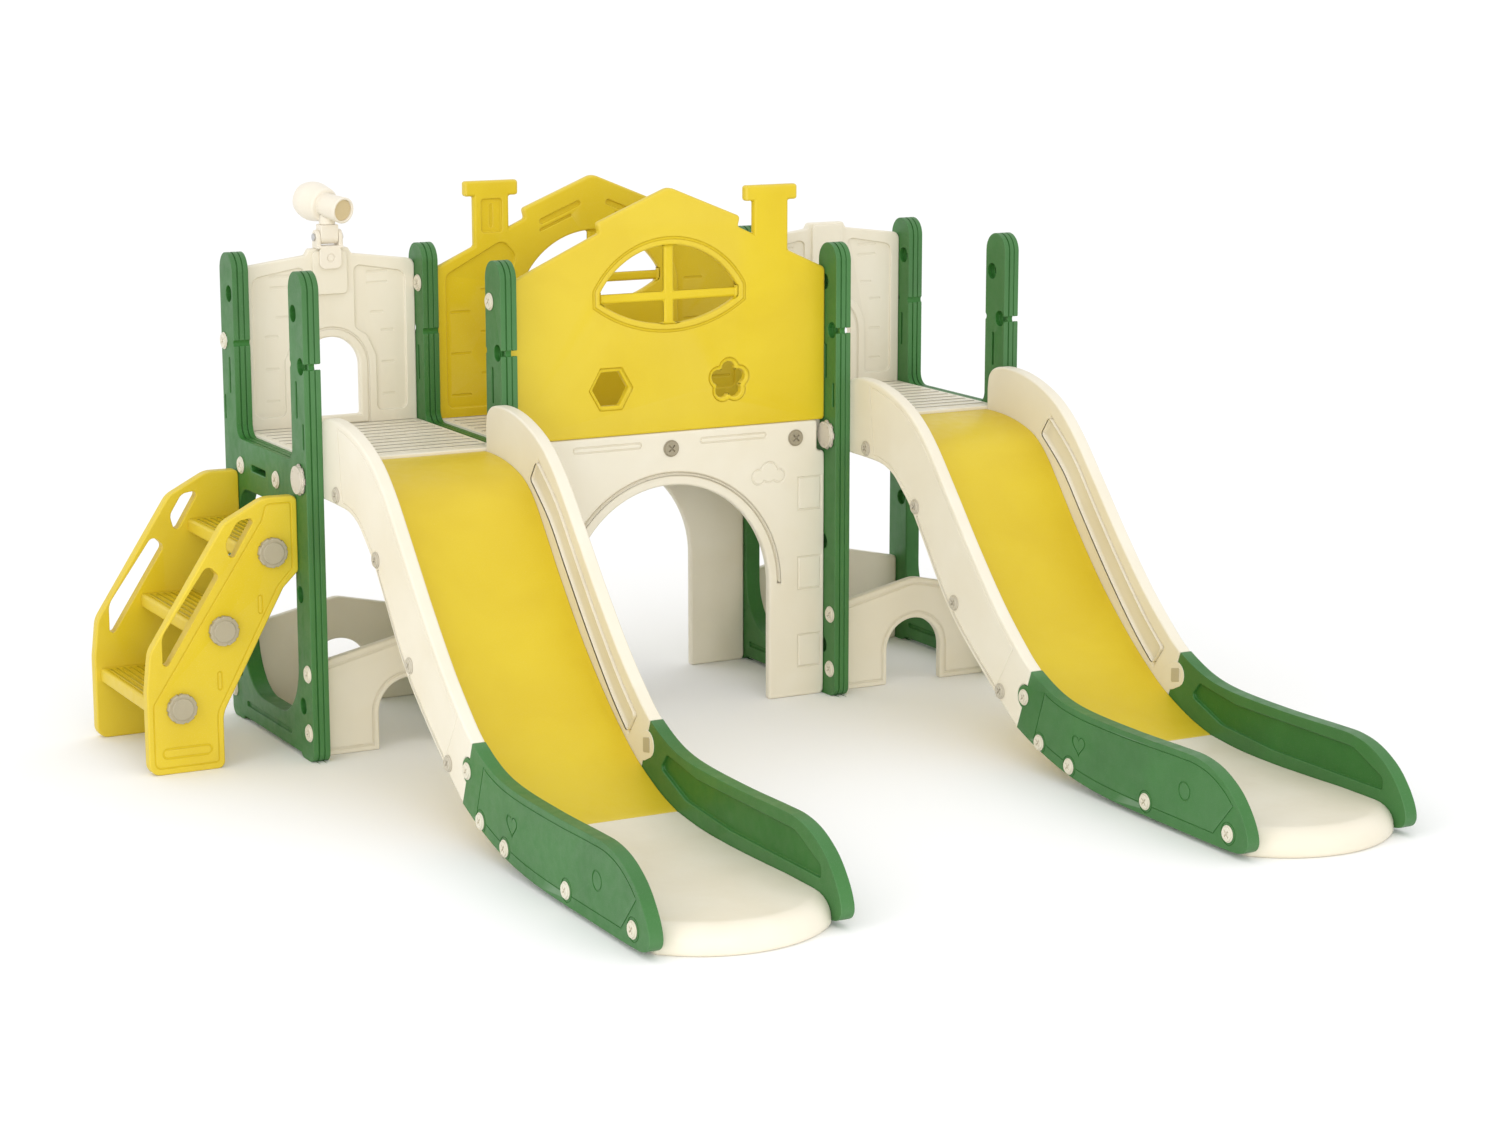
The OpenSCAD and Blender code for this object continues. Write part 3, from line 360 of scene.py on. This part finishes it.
# Widest rounding of each kind of node, in millimetres, by the start of its name
WIDEST = {
    "side_frame": 5, "deck": 4, "tower_panel": 5.5, "house_panel": 6, "arch_panel": 6, "low_panel": 6,
    "slide_1_bed": 3, "slide_2_bed": 3, "slide_1_runout": 3, "slide_2_runout": 3,
    "slide_1_wall": 9, "slide_2_wall": 9, "slide_1_skirt": 9, "slide_2_skirt": 9,
    "ladder_side": 11, "ladder_tread": 4, "ladder_rods": 1, "ladder_nuts": 3,
    "scope_bracket": 2, "scope_pin": 1, "scope_yoke": 2.5, "scope_tube": 4, "scope_lens": 0.6,
    "clamp_knobs": 3, "frame_screws": 1.2, "arch_screws": 1.2, "slide_1_screws": 1.2, "slide_2_screws": 1.2,
}


def widest_for(node):
    return next(width for start, width in WIDEST.items() if node.startswith(start)) * MM


for node in sorted(frame["nodes"]):
    moulding(node, widest_for(node))


# ---------- Joints between the walls and the skirts, on the inner faces ----------

PAD_SUNK = 1 * MM
PAD_EDGE = 0.8 * MM
LOBE_RADIUS = 29 * MM
LOBE_HEIGHT = 1.2 * MM
CLIP_CORNER = 4 * MM
CLIP_HEIGHT = 2.4 * MM
# Places on an inner face as (Y, Z), in metres from the upper rear corner of the skirt's box
LOBE_ENDS = ((-0.043, -0.053), (-0.017, -0.065))
CLIP_CORNERS = ((-0.051, -0.065), (-0.028, -0.070), (-0.028, -0.046), (-0.051, -0.041))


def swollen(cores, radius, steps=8):
    """Outline at one distance round a convex ring of points."""
    def heading(a, b):
        return math.atan2(b[1] - a[1], b[0] - a[0]) - math.pi / 2

    outline = []
    for before, core, after in zip(cores[-1:] + cores[:-1], cores, cores[1:] + cores[:1]):
        start = heading(before, core)
        turn = (heading(core, after) - start) % (2 * math.pi)
        for i in range(steps + 1):
            angle = start + turn * i / steps
            outline.append((core[0] + radius * math.cos(angle), core[1] + radius * math.sin(angle)))
    return outline


def pad(name, cores, radius, face_x, out, height, material):
    """Thin raised plate on an inner face, with a rounded rim; out is the sign of X on its raised side."""
    bm = bmesh.new()
    rings = [(-PAD_SUNK, radius)]
    for degrees in (0, 30, 60, 90):
        angle = math.radians(degrees)
        rings.append((height - PAD_EDGE + PAD_EDGE * math.sin(angle),
                      radius - PAD_EDGE + PAD_EDGE * math.cos(angle)))
    loops = [[bm.verts.new((face_x + out * rise, y, z)) for y, z in swollen(cores, reach)]
             for rise, reach in rings]
    for low, high in zip(loops, loops[1:]):
        for i in range(len(low)):
            bm.faces.new((low[i - 1], low[i], high[i], high[i - 1])).smooth = True
    bm.faces.new(loops[0])
    bm.faces.new(loops[-1])
    bmesh.ops.recalc_face_normals(bm, faces=bm.faces)
    mesh = bpy.data.meshes.new(name)
    bm.to_mesh(mesh)
    bm.free()
    mesh.materials.append(material)
    piece = bpy.data.objects.new(name, mesh)
    bpy.context.scene.collection.objects.link(piece)
    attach(piece, "structure")


def wall_joint(slide, side):
    """Cream lobe of a wall lapping over its skirt, with the clip that locks them."""
    low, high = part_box("slide_%d_wall_%s" % (slide, side))
    face_x, out = (high[0], 1) if side == "left" else (low[0], -1)
    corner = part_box("slide_%d_skirt_%s" % (slide, side))[1]
    name = "slide_%d_%s" % (slide, side)
    lobe = [(corner[1] + y, corner[2] + z) for y, z in LOBE_ENDS]
    clip = [(corner[1] + y, corner[2] + z) for y, z in CLIP_CORNERS]
    pad(name + "_lobe", lobe, LOBE_RADIUS, face_x, out, LOBE_HEIGHT, CREAM)
    pad(name + "_clip", clip, CLIP_CORNER, face_x, out, CLIP_HEIGHT, CLIP)


for slide in (1, 2):
    for side in ("left", "right"):
        wall_joint(slide, side)


# ---------- Floor, light and camera ----------

FLOOR_HALF = 30.0


def floor():
    """Large pale floor that is not part of the object."""
    mesh = bpy.data.meshes.new("floor")
    corners = [(x * FLOOR_HALF, y * FLOOR_HALF, 0) for x, y in ((-1, -1), (1, -1), (1, 1), (-1, 1))]
    mesh.from_pydata(corners, [], [(0, 1, 2, 3)])
    obj = bpy.data.objects.new("floor", mesh)
    bpy.context.scene.collection.objects.link(obj)
    material = bpy.data.materials.new("floor_paper")
    material.use_nodes = True
    shader = material.node_tree.nodes["Principled BSDF"]
    shader.inputs["Base Color"].default_value = (0.96, 0.96, 0.96, 1)
    shader.inputs["Roughness"].default_value = 0.9
    shader.inputs["Specular IOR Level"].default_value = 0.1
    mesh.materials.append(material)


def area_light(name, place, target, size, power, colour):
    """Square light of a size in metres and a power in watts, aimed at a target."""
    data = bpy.data.lights.new(name, "AREA")
    data.shape = "SQUARE"
    data.size = size
    data.energy = power
    data.color = colour
    obj = bpy.data.objects.new(name, data)
    obj.location = place
    obj.rotation_euler = (Vector(target) - Vector(place)).to_track_quat("-Z", "Y").to_euler()
    bpy.context.scene.collection.objects.link(obj)


def studio():
    """White surroundings with a key light from the left and a broad fill light from the camera's side."""
    world = bpy.data.worlds.new("studio")
    world.use_nodes = True
    sky = world.node_tree.nodes["Background"]
    sky.inputs["Color"].default_value = (1.0, 1.0, 1.0, 1)
    sky.inputs["Strength"].default_value = 1.04
    bpy.context.scene.world = world
    area_light("key", (-6.5, -2.2, 2.6), (0.0, -0.2, 0.5), size=3.0, power=60, colour=(1.0, 0.99, 0.97))
    area_light("fill", (-2.4, -6.6, 1.1), (0.0, 0.0, 0.4), size=4.0, power=190, colour=(1.0, 1.0, 1.0))
    view = bpy.context.scene.view_settings
    view.view_transform = "Standard"
    view.look = "None"
    view.exposure = 0.05


def camera():
    """Camera at the photograph's viewing angle."""
    data = bpy.data.cameras.new("camera")
    data.sensor_width = 36.0
    data.lens = 78.22
    data.clip_end = 100.0
    obj = bpy.data.objects.new("camera", data)
    obj.location = (-3.2048, -6.1551, 1.8831)
    obj.rotation_euler = (math.radians(78.594), 0.0, math.radians(-28.04))
    bpy.context.scene.collection.objects.link(obj)
    bpy.context.scene.camera = obj


floor()
studio()
camera()
